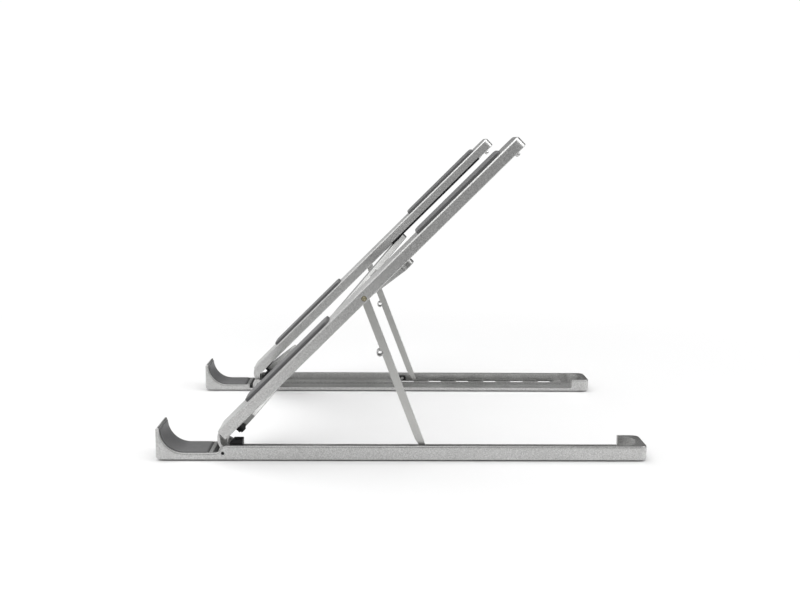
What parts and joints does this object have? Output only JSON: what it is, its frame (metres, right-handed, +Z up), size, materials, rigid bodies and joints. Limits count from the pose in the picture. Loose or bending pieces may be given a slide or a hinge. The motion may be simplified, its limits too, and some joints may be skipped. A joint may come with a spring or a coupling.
{
  "type": "laptop stand",
  "caption": "Folding aluminium laptop stand: two slim hinged halves with hooked fronts and padded arms, joined by scissor crossbars and propped by slotted struts.",
  "frame": {"origin": "on the desk, under the middle of the opened stand's box", "axes": "+X from the hooks to the rear, +Y to the left half, +Z up"},
  "size_m": [0.25, 0.172, 0.1633],
  "materials": {
    "body_aluminium": "bead-blasted and silver anodised, satin",
    "bar_aluminium": "silver anodised, satin",
    "strut_aluminium": "silver anodised, satin",
    "pad_silicone": "grey silicone, matt",
    "foot_rubber": "dark rubber, matt",
    "black_plastic": "black moulded plastic",
    "pin_steel": "turned steel",
    "black_steel": "blackened steel",
    "rivet_brass": "dull brass"
  },
  "bodies": {
    "base_right": {"right_base": "body_aluminium", "right_hook_pad": "pad_silicone", "right_front_foot": "foot_rubber", "right_rear_foot": "foot_rubber", "right_hinge_pin": "black_steel", "right_hinge_liner": "black_plastic", "right_hinge_block": "black_plastic", "right_stop_block": "black_plastic", "right_stop_screw": "pin_steel"},
    "arm_right": {"right_arm": "body_aluminium", "right_lower_pad": "pad_silicone", "right_upper_pad": "pad_silicone", "right_tip_bumper": "pin_steel", "right_slide_rail": "black_plastic", "right_strut_rivet": "rivet_brass", "right_crossbar_rivet": "black_steel", "right_pivot_washer": "black_plastic"},
    "strut_right": {"right_strut": "strut_aluminium", "right_strut_roll_pin": "pin_steel"},
    "bar_a": {"crossbar_a": "bar_aluminium", "crossbar_a_cap": "black_plastic", "crossbar_a_slider": "pin_steel", "centre_rivet": "pin_steel"},
    "bar_b": {"crossbar_b": "bar_aluminium", "crossbar_b_cap": "black_plastic", "crossbar_b_slider": "pin_steel"},
    "arm_left": {"left_arm": "body_aluminium", "left_lower_pad": "pad_silicone", "left_upper_pad": "pad_silicone", "left_tip_bumper": "pin_steel", "left_slide_rail": "black_plastic", "left_strut_rivet": "rivet_brass", "left_crossbar_rivet": "black_steel", "left_pivot_washer": "black_plastic"},
    "strut_left": {"left_strut": "strut_aluminium", "left_strut_roll_pin": "pin_steel"},
    "base_left": {"left_base": "body_aluminium", "left_hook_pad": "pad_silicone", "left_front_foot": "foot_rubber", "left_rear_foot": "foot_rubber", "left_hinge_pin": "black_steel", "left_hinge_liner": "black_plastic", "left_hinge_block": "black_plastic", "left_stop_block": "black_plastic", "left_stop_screw": "pin_steel"}
  },
  "joints": [
    {"name": "tilt", "type": "hinge", "parent": "base_right", "child": "arm_right", "pos_m": [-0.0913, -0.075, 0.004], "axis": [0, 1, 0], "range_deg": [0, 45]},
    {"name": "strut_right_swing", "type": "hinge", "parent": "arm_right", "child": "strut_right", "pos_m": [-0.02002, -0.08, 0.08348], "axis": [0, -1, 0], "range_deg": [0, 113.91]},
    {"name": "spread", "type": "hinge", "parent": "arm_right", "child": "bar_a", "pos_m": [-0.08405, -0.0715, 0.01372], "axis": [0.7071, 0, -0.7071], "range_deg": [0, 45.18]},
    {"name": "cross", "type": "hinge", "parent": "bar_a", "child": "bar_b", "pos_m": [-0.04148, 0, 0.05629], "axis": [-0.7071, 0, 0.7071], "range_deg": [0, 90.36]},
    {"name": "left_pivot", "type": "hinge", "parent": "bar_b", "child": "arm_left", "pos_m": [-0.08405, 0.0715, 0.01372], "axis": [0.7071, 0, -0.7071], "range_deg": [0, 45.18]},
    {"name": "strut_left_swing", "type": "hinge", "parent": "arm_left", "child": "strut_left", "pos_m": [-0.02002, 0.08, 0.08348], "axis": [0, -1, 0], "range_deg": [0, 113.91]},
    {"name": "left_tilt", "type": "hinge", "parent": "arm_left", "child": "base_left", "pos_m": [-0.0913, 0.075, 0.004], "axis": [0, -1, 0], "range_deg": [0, 45]}
  ],
  "couplings": [
    {"joint": "strut_right_swing", "follows": "tilt", "ratio": 2.5311},
    {"joint": "strut_left_swing", "follows": "tilt", "ratio": 2.5311},
    {"joint": "left_tilt", "follows": "tilt", "ratio": 1},
    {"joint": "cross", "follows": "spread", "ratio": 2},
    {"joint": "left_pivot", "follows": "spread", "ratio": 1}
  ]
}
